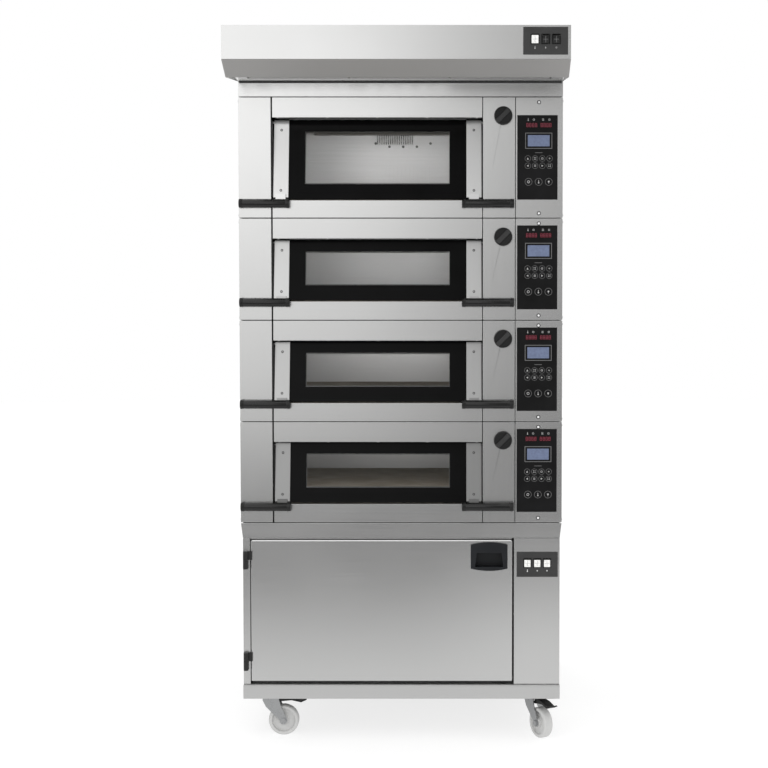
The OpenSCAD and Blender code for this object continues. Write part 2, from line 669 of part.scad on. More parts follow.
module flue_duct() color(bright_steel) {
  t = 1.5;
  z0 = vent_z(1) - 70;
  z1 = hood_z + 30;
  y0 = vent_y - flue_half;
  y1 = vent_y + flue_half;
  x1 = flue_l + flue_w;
  bottoms = [for (k = [0:4]) k == 0 ? z0 : vent_z(k) + duct_half];
  tops = [for (k = [1:5]) k == 5 ? z1 : vent_z(k) - duct_half];
  slab([x1 - t, y0, z0], [x1, y1, z1]);
  for (y = [y0, y1 - t]) slab([flue_l, y, z0], [x1 - t - seam, y + t, z1]);
  slab([flue_l, y0 + t + seam, z0], [x1 - t - seam, y1 - t - seam, z0 + t]);
  for (n = [0:4])
    slab([flue_l, y0 + t + seam, bottoms[n] + (n == 0 ? t + seam : 0)], [flue_l + t, y1 - t - seam, tops[n]]);
  for (k = DECKS, s = [-1, 1]) translate([0, vent_y, vent_z(k)]) {
    branch_l = cham_r + wall_t + seam;
    branch_r = flue_l - seam;
    edge = s * duct_half;
    side = 4;
    slab([flue_l, edge, seam - duct_half], [flue_l + t, s * (flue_half - t - seam), duct_half - seam]);
    // Side of the branch duct, with the bearing of the flap's shaft
    difference() {
      slab([branch_l, edge, -duct_half], [branch_r, edge + s * side, duct_half]);
      rod_y(knob_x, edge - s, edge + s * (side + 1), 0, shaft_r + running);
    }
    slab([branch_l, -duct_half - side, edge + s * seam], [branch_r, duct_half + side, edge + s * (seam + t)]);
  }
}

// ---------- hood ----------

slope_run = 92;
pan_run = 80;
spigot_y = back - 160;
spigot_up = 60;

module hood_canopy() color(steel) {
  f = hood_front;
  lip_y = f + slope_run;
  zf = hood_top - hood_face_h;
  inner = hw - sheet - seam;
  difference() {
    slab([-hw, f, zf], [hw, f + sheet, hood_top]);
    plate_window(HOOD_PLATE);
  }
  // Slanted panel, with a return behind its lower edge that the filters rest on
  along_x(-hw, hw)
    polygon([[f, zf - seam], [f + sheet, zf - seam], [lip_y, lip_z + sheet],
             [lip_y, lip_z], [lip_y - 3, lip_z]]);
  slab([-inner, lip_y + seam, lip_z], [inner, lip_y + seam + sheet, hood_z + sheet]);
  for (x = [-hw, hw - sheet]) {
    along_x(x, x + sheet)
      polygon([[f + sheet + seam, zf + 1], [lip_y + seam, lip_z + 1.4], [lip_y + seam, lip_z],
               [front - seam, hood_z], [front - seam, hood_top], [f + sheet + seam, hood_top]]);
    slab([x, front, hood_z], [x + sheet, back - sheet - seam, hood_top]);
  }
  slab([-hw, back - sheet, hood_z], [hw, back, hood_top]);
  // Top, in pieces round the exhaust
  r = spigot_d / 2;
  collar = r + 20;
  zt = hood_top - sheet;
  plate_round([-inner, f + sheet + seam, zt], [inner, back - sheet - seam, hood_top],
              [-collar, spigot_y - collar], [collar, spigot_y + collar]);
  translate([0, spigot_y, zt]) difference() {
    union() {
      slab([seam - collar, seam - collar, 0], [collar - seam, collar - seam, sheet]);
      cylinder(r = r, h = spigot_up + sheet);
    }
    translate([0, 0, -1]) cylinder(r = r - 1.5, h = spigot_up + sheet + 2);
  }
  // Pan behind the filters, over the doors
  slab([-inner, front - pan_run, hood_z], [inner, front - 1, hood_z + sheet]);
  // Floor of the plenum above the decks, which the flue passes through
  flue_plate([-inner, front, hood_z], [inner, back - sheet - seam, hood_z + sheet]);
  // Sides of the filter bay
  for (s = [-1, 1]) slab([s * inner, lip_y + 3, hood_z], [s * 480, front - seam, hood_z + sheet]);
  // Collar between the top deck and the hood
  c1 = hood_z - seam;
  slab([-hw, front, collar_z + joint], [hw, front + sheet, c1]);
  for (x = [-hw, hw - sheet])
    slab([x, front + sheet + seam, collar_z + joint], [x + sheet, back - sheet - seam, c1]);
  slab([-hw, back - sheet, collar_z + joint], [hw, back, c1]);
}

module hood_filter() color(bright_steel) {
  y0 = hood_front + slope_run + 4;
  y1 = front - pan_run - 4;
  rear_w = 36;
  for (m = [-1:1]) translate([m * 318, 0, hood_z]) {
    for (x = [-156, 144]) slab([x, y0, 0], [x + 12, y1, 14]);
    slab([-144 + seam, y0, 0], [144 - seam, y0 + 12, 14]);
    slab([-144 + seam, y1 - rear_w, 0], [144 - seam, y1, 14]);
    for (n = [0:9]) slab([-138 + n * 28.4, y0 + 12 + seam, n % 2 == 0 ? 1 : 7],
                         [-118 + n * 28.4, y1 - rear_w - seam, n % 2 == 0 ? 3 : 9]);
  }
}

// ---------- supply gland and screws ----------

gland_x = -400;
gland_z = prover_z + 90;
gland_bore_r = 6;

// Gland in the back, which the supply cable comes out of
module supply_gland() color(dark_plastic) translate([gland_x, back, gland_z]) rotate([-90, 0, 0])
  difference() {
    dome_h = 6;
    union() {
      cylinder(r = 17, h = 8, $fn = 6);
      cylinder(r = 13, h = gland_len - dome_h);
      translate([0, 0, gland_len - dome_h]) cylinder(r1 = 13, r2 = 9, h = dome_h);
    }
    translate([0, 0, -1]) cylinder(r = gland_bore_r, h = gland_len + 2);
  }

module screw_head(x, z, r) rod_y(x, front - 1.2, front - contact, z, r);

module casing_screws() color(bright_steel) {
  for (k = DECKS) {
    for (z = [deck_z(k) + 15.5, deck_top(k) - 17]) screw_head(screw_x, z, 3.6);
    for (z = [deck_z(k) + 10, deck_top(k) - 12], s = [-1, 1])
      rod_x(s * (hw + contact), s * (hw + 2), front + 12, z, 4);
  }
}

base_frame();
caster_plates();
caster_seals();
supply_gland();
for (i = [0:3]) caster_fork(i);
for (i = [0:3]) caster_wheel(i);
for (i = [0, 1]) brake_pedal(i);
prover_casing();
prover_liner();
prover_tray_runners();
prover_heater();
prover_water_pan();
prover_hinge_brackets();
prover_door_panel();
prover_door_liner();
prover_door_gasket();
prover_door_handle();
prover_door_hinges();
for (s = SWITCHES) prover_switch(s);
for (k = DECKS) deck_casing(k);
for (k = DECKS) deck_door_frame(k);
for (k = DECKS) deck_door_glass(k);
for (k = DECKS) deck_door_grips(k);
for (k = DECKS) deck_vent_knob(k);
deck_keypads();
oven_chambers();
hearth_stones();
oven_elements();
flue_duct();
hood_canopy();
hood_filter();
switch_panels();
casing_screws();
for (s = SWITCHES) hood_switch(s);
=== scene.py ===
"""Looks for the bakery oven stack: materials, detail pieces, studio light and camera. Metres, +Z up."""
import json
from math import cos, pi, radians, sin, tan

import bmesh
import bpy
from mathutils import Matrix, Vector

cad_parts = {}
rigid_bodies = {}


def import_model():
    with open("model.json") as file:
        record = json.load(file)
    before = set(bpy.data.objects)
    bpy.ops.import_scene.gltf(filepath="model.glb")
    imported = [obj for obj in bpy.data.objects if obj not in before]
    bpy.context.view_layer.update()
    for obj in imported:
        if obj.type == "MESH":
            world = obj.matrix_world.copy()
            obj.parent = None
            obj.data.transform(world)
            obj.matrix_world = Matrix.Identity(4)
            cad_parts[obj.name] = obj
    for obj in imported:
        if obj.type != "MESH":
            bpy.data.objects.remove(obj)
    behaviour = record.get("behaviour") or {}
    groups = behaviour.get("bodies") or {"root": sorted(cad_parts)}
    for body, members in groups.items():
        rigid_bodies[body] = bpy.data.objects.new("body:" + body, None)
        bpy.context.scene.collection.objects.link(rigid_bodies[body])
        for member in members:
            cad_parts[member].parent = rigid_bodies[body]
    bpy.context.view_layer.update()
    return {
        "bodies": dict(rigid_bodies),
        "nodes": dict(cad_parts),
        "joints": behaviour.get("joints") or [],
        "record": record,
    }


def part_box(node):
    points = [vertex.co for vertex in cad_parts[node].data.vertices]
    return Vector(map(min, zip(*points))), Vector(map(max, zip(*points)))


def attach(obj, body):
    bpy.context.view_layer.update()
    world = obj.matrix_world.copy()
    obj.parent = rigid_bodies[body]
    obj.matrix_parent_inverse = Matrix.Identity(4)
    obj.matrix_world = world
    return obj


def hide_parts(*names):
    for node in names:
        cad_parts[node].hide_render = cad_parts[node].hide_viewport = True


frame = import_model()
NODES = frame["nodes"]
MM = 0.001
DECKS = (1, 2, 3, 4)
SWITCHES = (1, 2, 3)
CORNERS = ("front_left", "front_right", "rear_left", "rear_right")


# ---------- places, read from the CAD frame ----------

TILT = radians(10)                       # lean of a closed oven door
casing_lo, casing_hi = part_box("deck1_casing")
FRONT, BACK = casing_lo.y, casing_hi.y
HALF = casing_hi.x
glass_lo, glass_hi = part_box("deck1_door_glass")
STILE_SIDE = 1.2 * MM                    # the glass stops this far inside the stiles' outer edges
DOOR_L, DOOR_R = glass_lo.x - STILE_SIDE, glass_hi.x + STILE_SIDE
BAY_L, BAY_R = DOOR_L - 3 * MM, DOOR_R + 3 * MM
VENT_R, CTRL_L = 0.3692, 0.3714
INNER_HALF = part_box("base_frame")[1].x - 3.5 * MM    # inside of the cabinet's side sheets
HEADER = 0.066
HINGE_DROP = 0.078
STILE = 0.048


class Deck:
    """Heights of one oven deck, and its door's own frame."""

    def __init__(self, k):
        lo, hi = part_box(f"deck{k}_casing")
        self.k = k
        self.z0 = lo.z
        self.top = hi.z
        self.hinge_z = self.top - HINGE_DROP
        self.drop = self.hinge_z - self.z0 - (0.0607 if k == 4 else 0.0642)
        self.leaf = self.drop / cos(TILT)
        self.hinge_y = FRONT + 8 * MM + self.drop * tan(TILT)
        self.frame = Matrix.Translation((0, self.hinge_y, self.hinge_z)) @ Matrix.Rotation(-TILT, 4, "X")
        self.pad_top = self.top - (0.0585 if k == 4 else 0.0235)
        grip_lo, grip_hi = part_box(f"deck{k}_door_grips")
        self.grip_z = (grip_lo.z + grip_hi.z) / 2


DECK = {k: Deck(k) for k in DECKS}

# ---------- materials ----------


def node(tree, kind, **values):
    """A shader node; lower-case names are its settings, other names its sockets (a socket value links)."""
    n = tree.nodes.new("ShaderNode" + kind)
    for key, value in values.items():
        if key[0].islower():
            setattr(n, key, value)
    for key, value in values.items():
        if key[0].islower():
            continue
        name = key.replace("_", " ")
        socket = n.inputs[int(key[1:])] if key[0] == "I" and key[1:].isdigit() else n.inputs[name]
        if isinstance(value, bpy.types.NodeSocket):
            tree.links.new(value, socket)
        else:
            socket.default_value = value
    return n


def math(tree, op, a, b=0.0, clamp=False):
    return node(tree, "Math", operation=op, use_clamp=clamp, I0=a, I1=b).outputs[0]


def blank(name):
    m = bpy.data.materials.new(name)
    m.use_nodes = True
    m.node_tree.nodes.clear()
    return m, m.node_tree


def finish_material(m, tree, color, rough, normal=None, **sockets):
    bsdf = node(tree, "BsdfPrincipled", **sockets)
    for name, value in (("Base Color", color), ("Roughness", rough), ("Normal", normal)):
        if isinstance(value, bpy.types.NodeSocket):
            tree.links.new(value, bsdf.inputs[name])
        elif value is not None:
            bsdf.inputs[name].default_value = value
    out = node(tree, "OutputMaterial")
    tree.links.new(bsdf.outputs[0], out.inputs[0])
    return m


def ramp(tree, factor, low, high, start=0.3, end=0.7):
    r = node(tree, "ValToRGB", Fac=factor)
    r.color_ramp.elements[0].position = start
    r.color_ramp.elements[1].position = end
    r.color_ramp.elements[0].color = low
    r.color_ramp.elements[1].color = high
    return r.outputs[0]


def grey(v, tint=(1.0, 1.0, 1.0)):
    return (v * tint[0], v * tint[1], v * tint[2], 1.0)


def spread(tree, value, low, high):
    """Maps 0..1 to low..high."""
    return node(tree, "MapRange", Value=value, I1=0.3, I2=0.7, I3=low, I4=high).outputs[0]


ALONG_X = (3, 3, 260)
ALONG_Z = (260, 260, 3)


def steel(name, base=0.78, rough=0.30, grain=ALONG_X, columns=False, streak=0.011,
          tint=(1, 1, 0.992), inside=0.0, soft=None):
    """Brushed stainless steel; with columns the grain is upright on the side and vent columns of a deck.
    Behind the front sheet, to the depth given by inside, the metal is coloured near black: painted shade in
    the seams and gaps.
    Between the two heights in soft, ahead of its depth, the finish is matt, with a darker, warmer colour:
    painted shade on the hood's downward-facing slope."""
    m, t = blank(name)
    place = node(t, "TexCoord").outputs["Object"]
    fine = node(t, "Mapping", Vector=place, Scale=grain).outputs[0]
    if columns:
        upright = node(t, "Mapping", Vector=place, Scale=ALONG_Z).outputs[0]
        x = node(t, "SeparateXYZ", Vector=place).outputs[0]
        left = math(t, "LESS_THAN", x, BAY_L - 0.001)
        vent = math(t, "MULTIPLY", math(t, "GREATER_THAN", x, BAY_R + 0.001),
                    math(t, "LESS_THAN", x, CTRL_L - 0.001))
        fine = node(t, "Mix", data_type="VECTOR", I0=math(t, "ADD", left, vent, True),
                    I4=fine, I5=upright).outputs[1]
    lines = node(t, "TexNoise", Vector=fine, Scale=1.0, Detail=5.0, Roughness=0.62).outputs[0]
    broad = node(t, "TexNoise", Vector=place, Scale=5.0, Detail=3.0, Roughness=0.5).outputs[0]
    color = ramp(t, lines, grey(base * (1 - streak), tint), grey(base * (1 + streak * 0.7), tint))
    # Painted shade: the steel behind the front sheet, seen through the seams, is coloured near black.
    if inside:
        x, y, z = node(t, "SeparateXYZ", Vector=place).outputs
        painted_shade_mask = math(t, "MULTIPLY", math(t, "GREATER_THAN", y, FRONT + 2.05 * MM),
                    math(t, "LESS_THAN", y, FRONT + inside))
        painted_shade_mask = math(t, "MULTIPLY", painted_shade_mask, math(t, "LESS_THAN", math(t, "ABSOLUTE", x), INNER_HALF))
        color = node(t, "Mix", data_type="RGBA", I0=painted_shade_mask, I6=color, I7=grey(0.035)).outputs[2]
    wander = math(t, "ADD", spread(t, lines, -0.012, 0.012), spread(t, broad, -0.008, 0.012))
    r = math(t, "ADD", wander, rough)
    if soft:
        x, y, z = node(t, "SeparateXYZ", Vector=place).outputs
        matt_painted_shade_patch = math(t, "MULTIPLY", math(t, "GREATER_THAN", z, soft[0]), math(t, "LESS_THAN", z, soft[1]))
        matt_painted_shade_patch = math(t, "MULTIPLY", matt_painted_shade_patch, math(t, "LESS_THAN", y, soft[2]))
        r = math(t, "ADD", r, math(t, "MULTIPLY", matt_painted_shade_patch, 0.34))
        # Painted shade: the slope's colour is darkened and warmed.
        color = node(t, "Mix", data_type="RGBA", I0=matt_painted_shade_patch, I6=color,
                     I7=grey(0.68, (1, 0.985, 0.965))).outputs[2]
    return finish_material(m, t, color, r, Metallic=1.0)


def plastic(name, base, rough=0.45, grain_size=900.0, bump_size=0.00012, gloss=0.5,
            tint=(1, 1, 1), vary=0.12):
    """Moulded plastic or rubber with a fine texture and slightly uneven gloss."""
    m, t = blank(name)
    place = node(t, "TexCoord").outputs["Object"]
    tex = node(t, "TexNoise", Vector=place, Scale=grain_size, Detail=2.0, Roughness=0.6).outputs[0]
    broad = node(t, "TexNoise", Vector=place, Scale=22.0, Detail=4.0, Roughness=0.6).outputs[0]
    color = ramp(t, broad, grey(base * (1 - vary), tint), grey(base * (1 + vary), tint))
    r = math(t, "ADD", spread(t, broad, -0.05, 0.06), rough)
    bump = node(t, "Bump", Strength=0.35, Distance=bump_size, Height=tex).outputs[0]
    return finish_material(m, t, color, r, bump, Specular_IOR_Level=gloss)


def glossy_black(name, base=0.006, rough=0.09):
    """Enamel on the back of glass, or the face of a membrane panel."""
    m, t = blank(name)
    place = node(t, "TexCoord").outputs["Object"]
    smear = node(t, "TexNoise", Vector=place, Scale=9.0, Detail=5.0, Roughness=0.65).outputs[0]
    color = ramp(t, smear, grey(base * 0.8), grey(base * 1.3, (1, 1, 1.04)))
    r = math(t, "ADD", spread(t, smear, -0.02, 0.05), rough)
    return finish_material(m, t, color, r, Specular_IOR_Level=0.08)


def window_glass(name):
    m, t = blank(name)
    place = node(t, "TexCoord").outputs["Object"]
    smear = node(t, "TexNoise", Vector=place, Scale=12.0, Detail=5.0, Roughness=0.65).outputs[0]
    r = math(t, "ADD", spread(t, smear, -0.01, 0.03), 0.03)
    color = ramp(t, smear, grey(0.012), grey(0.018, (1, 1.02, 1.03)))
    return finish_material(m, t, color, r, Alpha=0.14, Specular_IOR_Level=0.35)


def stone(name):
    m, t = blank(name)
    place = node(t, "TexCoord").outputs["Object"]
    grit = node(t, "TexNoise", Vector=place, Scale=320.0, Detail=6.0, Roughness=0.7).outputs[0]
    cloud = node(t, "TexNoise", Vector=place, Scale=11.0, Detail=5.0, Roughness=0.6).outputs[0]
    both = math(t, "ADD", math(t, "MULTIPLY", grit, 0.45), math(t, "MULTIPLY", cloud, 0.55))
    color = ramp(t, both, (0.30, 0.26, 0.20, 1), (0.52, 0.47, 0.39, 1), 0.35, 0.65)
    bump = node(t, "Bump", Strength=0.5, Distance=0.0008, Height=grit).outputs[0]
    return finish_material(m, t, color, 0.85, bump)


def lit(name, color, strength, rough=0.3):
    """A faintly glowing display or lens, with a fine cell pattern."""
    m, t = blank(name)
    place = node(t, "TexCoord").outputs["Object"]
    cells = node(t, "TexNoise", Vector=place, Scale=160.0, Detail=3.0).outputs[0]
    dark = tuple(c * 0.8 for c in color) + (1,)
    c = ramp(t, cells, dark, tuple(min(1, v * 1.12) for v in color) + (1,))
    return finish_material(m, t, c, rough, Emission_Color=tuple(color) + (1,), Emission_Strength=strength)


SLOPE_LOW, SLOPE_HIGH = 2.1255, 2.1705   # the hood's slanted panel
# Painted shade: each deck's stiles get their own copy of the steel, darker on the lower decks.
STILE_PAINTED_SHADE = {1: 0.38, 2: 0.58, 3: 0.75, 4: 0.98}
M = {
    # panel and deck: painted shade behind the front sheet, as far back as inside.
    "panel": steel("brushed_panel", 0.80, 0.24, inside=0.045),
    "hood": steel("brushed_hood", 0.80, 0.24, soft=(SLOPE_LOW, SLOPE_HIGH, FRONT - 0.22)),
    "door": steel("brushed_door", 0.80, 0.24),
    "deck": steel("brushed_deck", 0.80, 0.24, columns=True, inside=0.095),
    "base": steel("brushed_base", 0.76, 0.30),
    "inner": steel("inner_steel", 0.60, 0.38, streak=0.04),
    "chamber": steel("chamber_steel", 0.52, 0.42, streak=0.05, tint=(1, 0.998, 0.99)),
    "zinc": steel("zinc_steel", 0.52, 0.28, (90, 90, 90), streak=0.06, tint=(0.985, 1, 1.01)),
    "tube": steel("tube_steel", 0.50, 0.45, streak=0.05),
    "bright": steel("bright_screw", 0.88, 0.16, (60, 60, 60), streak=0.02),
    "dark_screw": steel("dark_screw", 0.13, 0.35, (60, 60, 60), streak=0.1),
    "spacer": steel("window_spacer", 0.22, 0.35, streak=0.04),
    "black": plastic("black_plastic", 0.018, 0.42, gloss=0.35),
    "grip": plastic("grip_plastic", 0.004, 0.24, 1400.0, gloss=0.6),
    "grip_cap": plastic("grip_cap_plastic", 0.006, 0.40, gloss=0.5),
    "handle": plastic("handle_plastic", 0.012, 0.36, tint=(0.85, 0.98, 1.2), gloss=0.35),
    "knob": plastic("knob_plastic", 0.010, 0.42, gloss=0.35),
    "knob_bar": plastic("knob_bar_plastic", 0.030, 0.38, gloss=0.5),
    "plate": plastic("plate_plastic", 0.040, 0.55, gloss=0.3),
    "bezel": plastic("bezel_plastic", 0.008, 0.40, gloss=0.2),
    "pedal": plastic("pedal_plastic", 0.012, 0.45, gloss=0.35),
    "membrane": glossy_black("membrane_panel", 0.010, 0.30),
    "enamel": glossy_black("glass_enamel", 0.003, 0.14),
    "window": window_glass("window_glass"),
    "wheel": plastic("grey_wheel", 0.58, 0.42, 500.0, tint=(1, 1, 0.985), vary=0.05),
    "seal": plastic("red_seal", 0.26, 0.45, tint=(1.25, 0.16, 0.22), vary=0.1),
    "rubber": plastic("rubber_seal", 0.045, 0.62, gloss=0.3),
    "white": lit("white_rocker", (0.86, 0.86, 0.84), 0.10),
    "dark_rocker": plastic("dark_rocker", 0.014, 0.32),
    "stone": stone("hearth_stone"),
    "element": plastic("element_steel", 0.09, 0.5, tint=(1.0, 0.95, 0.9), vary=0.3),
    "lcd": lit("display_blue", (0.112, 0.140, 0.225), 0.32),
    "led": lit("display_red", (0.20, 0.025, 0.045), 0.26),
    "led_back": plastic("display_tint", 0.012, 0.25, tint=(2.0, 0.5, 0.6), gloss=0.2),
    "mark": plastic("print_grey", 0.46, 0.5, vary=0.08, gloss=0.2),
    "mark_dim": plastic("print_dim", 0.15, 0.5, vary=0.08, gloss=0.2),
    "mark_white": plastic("print_white", 0.85, 0.5, vary=0.04, gloss=0.2),
}

for k in DECKS:
    M[f"stile{k}"] = steel(f"stile_steel_painted_shade_{k}", STILE_PAINTED_SHADE[k], 0.30, ALONG_Z, streak=0.01)

# ---------- mesh helpers ----------


def box(bm, lo, hi, place=None):
    corners = [(x, y, z) for x in (lo[0], hi[0]) for y in (lo[1], hi[1]) for z in (lo[2], hi[2])]
    v = [bm.verts.new(place @ Vector(c) if place else c) for c in corners]
    for f in ((0, 1, 3, 2), (4, 6, 7, 5), (0, 4, 5, 1), (2, 3, 7, 6), (0, 2, 6, 4), (1, 5, 7, 3)):
        bm.faces.new([v[i] for i in f])


def ring_faces(bm, loops, closed=True):
    for a, b in zip(loops, loops[1:]):
        n = len(a)
        for i in range(n if closed else n - 1):
            j = (i + 1) % n
            bm.faces.new((a[i], a[j], b[j], b[i]))


def lathe(bm, profile, place, segments=48, flutes=0, flute_depth=0.0):
    """Turns (radius, height) points round the local Z axis; the ends are capped."""
    rim = 0.9 * max(r for r, h in profile)
    loops = []
    for r, h in profile:
        loop = []
        for i in range(segments):
            a = 2 * pi * i / segments
            rr = r - (flute_depth * (0.5 + 0.5 * cos(flutes * a)) if flutes and r > rim else 0)
            loop.append(bm.verts.new(place @ Vector((rr * cos(a), rr * sin(a), h))))
        loops.append(loop)
    ring_faces(bm, loops)
    bm.faces.new(loops[0])
    bm.faces.new(loops[-1])


def frame_bar(bm, outer, inner, y0, y1, place):
    """A flat rectangular frame in the X-Z plane; outer and inner are (x0, z0, x1, z1)."""
    loops = []
    for (x0, z0, x1, z1), y in ((outer, y0), (outer, y1), (inner, y1), (inner, y0), (outer, y0)):
        pts = ((x0, z0), (x1, z0), (x1, z1), (x0, z1))
        loops.append([bm.verts.new(place @ Vector((x, y, z))) for x, z in pts])
    ring_faces(bm, loops)
    bmesh.ops.remove_doubles(bm, verts=bm.verts, dist=1e-6)


def annulus(bm, x, z, r0, r1, y, depth, segments=28):
    loops = []
    for r, yy in ((r1, y), (r1, y - depth), (r0, y - depth), (r0, y)):
        turns = [2 * pi * i / segments for i in range(segments)]
        loops.append([bm.verts.new((x + r * cos(a), yy, z + r * sin(a))) for a in turns])
    ring_faces(bm, loops)


def disc(bm, x, z, r, y, depth, segments=16):
    lathe(bm, [(r, 0), (r, depth)], Matrix.Translation((x, y, z)) @ Matrix.Rotation(pi / 2, 4, "X"), segments)


def poly(bm, points, y, depth):
    """A thin printed shape: a polygon in the X-Z plane, standing out from y towards the front."""
    loops = [[bm.verts.new((x, yy, z)) for x, z in points] for yy in (y, y - depth)]
    ring_faces(bm, loops)
    bm.faces.new(loops[0])
    bm.faces.new(loops[1])


def bar(bm, x0, z0, x1, z1, width, y, depth):
    """A short straight printed line in the X-Z plane."""
    along = Vector((x1 - x0, z1 - z0))
    side = Vector((-along.y, along.x)).normalized() * (width / 2)
    a, b = Vector((x0, z0)), Vector((x1, z1))
    poly(bm, (a + side, b + side, b - side, a - side), y, depth)


def screw(bm, at, axis, r, rise, frame=Matrix.Identity(4)):
    """A domed screw head with a socket; axis is the way it faces."""
    turn = Vector((0, 0, 1)).rotation_difference(Vector(axis)).to_matrix().to_4x4()
    place = frame @ Matrix.Translation(at) @ turn
    lathe(bm, [(r, 0), (r, rise * 0.35), (r * 0.86, rise * 0.75), (r * 0.6, rise), (r * 0.42, rise),
               (r * 0.36, rise * 0.45)], place, 18)


def piece(name, bm, material, body, bevel=0.0, segments=2, smooth=True):
    bmesh.ops.recalc_face_normals(bm, faces=bm.faces)
    mesh = bpy.data.meshes.new(name)
    bm.to_mesh(mesh)
    bm.free()
    o = bpy.data.objects.new(name, mesh)
    bpy.context.scene.collection.objects.link(o)
    mesh.materials.append(M[material])
    if smooth:
        mesh.shade_smooth()
        mesh.set_sharp_from_angle(angle=radians(32))
    if bevel:
        add_bevel(o, bevel, segments)
    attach(o, body)
    return o


def add_bevel(o, width, segments=2):
    b = o.modifiers.new("edge", "BEVEL")
    b.width = width
    b.segments = segments
    b.limit_method = "ANGLE"
    b.angle_limit = radians(34)
    b.use_clamp_overlap = True
    b.harden_normals = True


def dress(name, material, bevel=0.0):
    """Gives a CAD node its material, and rounds its edges with modifiers."""
    o = NODES[name]
    for s in o.material_slots:
        s.material = M[material]
    if bevel:
        w = o.modifiers.new("weld", "WELD")
        w.merge_threshold = 1e-5
        add_bevel(o, bevel)


# ---------- CAD nodes ----------

for k in DECKS:
    dress(f"deck{k}_casing", "deck", 0.0009)
    dress(f"deck{k}_door_frame", f"stile{k}", 0.0007)
    dress(f"deck{k}_door_grips", "grip", 0.0015)
dress("hood_canopy", "hood", 0.0009)
dress("prover_casing", "panel", 0.0009)
dress("prover_door_panel", "door", 0.0014)
dress("base_frame", "base", 0.0009)
for n in ("prover_liner", "prover_tray_runners", "prover_water_pan", "prover_door_liner", "flue_duct",
          "hood_filter"):
    dress(n, "inner", 0.0004)
dress("oven_chambers", "chamber", 0.0004)
for n in ["caster_plates"] + [f"caster_fork_{c}" for c in CORNERS]:
    dress(n, "zinc", 0.0012)
for c in CORNERS:
    dress(f"caster_wheel_{c}", "wheel", 0.0012)
for c in CORNERS[:2]:
    dress(f"brake_pedal_{c}", "pedal", 0.0012)
dress("caster_seals", "seal", 0.0008)
dress("casing_screws", "bright", 0.0005)
dress("supply_gland", "black", 0.0006)
dress("prover_hinge_brackets", "black", 0.0008)
dress("prover_door_hinges", "black", 0.0008)
dress("prover_door_handle", "handle", 0.0014)
dress("prover_door_gasket", "rubber", 0.0022)
dress("prover_heater", "element")
dress("oven_elements", "tube")
dress("hearth_stones", "stone", 0.0015)
dress("deck_keypads", "membrane", 0.0003)
dress("switch_panels", "plate", 0.0006)
for s in SWITCHES:
    dress(f"prover_switch_{s}", "white", 0.0008)
    dress(f"hood_switch_{s}", "white" if s == 1 else "dark_rocker", 0.0008)

# ---------- oven doors ----------

WINDOW_HALF = 0.2345
GLASS_Y = (-5.9 * MM, -0.1 * MM)


def deck_door(d):
    body = f"deck{d.k}_door"
    mid = (DOOR_L + DOOR_R) / 2 - MM
    outer = (glass_lo.x, -d.leaf, glass_hi.x, 8 * MM)
    hole = (mid - WINDOW_HALF, 0.049 - d.leaf, mid + WINDOW_HALF, -0.030)
    bm = bmesh.new()
    frame_bar(bm, outer, hole, GLASS_Y[0], GLASS_Y[1], d.frame)
    border = piece(f"deck{d.k}_glass_border", bm, "enamel", body, 0.0006)
    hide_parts(f"deck{d.k}_door_glass")
    bm = bmesh.new()
    box(bm, (hole[0], GLASS_Y[0] + 0.0008, hole[1]), (hole[2], GLASS_Y[1] - 0.0008, hole[3]), d.frame)
    piece(f"deck{d.k}_glass_window", bm, "window", body, smooth=False)
    # Spacer round the window, behind the glass
    bm = bmesh.new()
    inside = (hole[0] + 0.0022, hole[1] + 0.0045, hole[2] - 0.0022, hole[3] - 0.003)
    frame_bar(bm, hole, inside, 0.0004, 0.007, d.frame)
    piece(f"deck{d.k}_window_spacer", bm, "spacer", body, 0.0004)
    # Screws that hold the stiles together
    bm = bmesh.new()
    for x in (DOOR_L + STILE / 2, DOOR_R - STILE / 2):
        for z in (-0.028, 0.027 - d.leaf):
            screw(bm, (x, -0.0122, z), (0, -1, 0), 0.0042, 0.0011, d.frame)
    piece(f"deck{d.k}_stile_screws", bm, "dark_screw", body)
    # Caps on the top ends of the stiles, black as painted shade of the recess under the header
    bm = bmesh.new()
    for x in (DOOR_L, DOOR_R - STILE):
        box(bm, (x - 0.0002, -0.0124, 0.0042), (x + STILE + 0.0002, -0.006, 0.0084), d.frame)
    piece(f"deck{d.k}_stile_caps", bm, "bezel", body, 0.0004)


for k in DECKS:
    deck_door(DECK[k])

# ---------- control panels ----------

PAD_X = (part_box("deck_keypads")[0].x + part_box("deck_keypads")[1].x) / 2 + 4 * MM
PAD_FACE = FRONT - 2.5 * MM
WINDOW_FLOOR = PAD_FACE + 0.8 * MM
KEY_TOP = PAD_FACE - 0.8 * MM
PRINT = 0.12 * MM
KEY_PITCH, BIG_PITCH = 0.0234, 0.0326
SEGMENTS = ((0, 2, 1, 2), (0, 1, 1, 1), (0, 0, 1, 0), (0, 1, 0, 2), (1, 1, 1, 2), (0, 0, 0, 1), (1, 0, 1, 1))


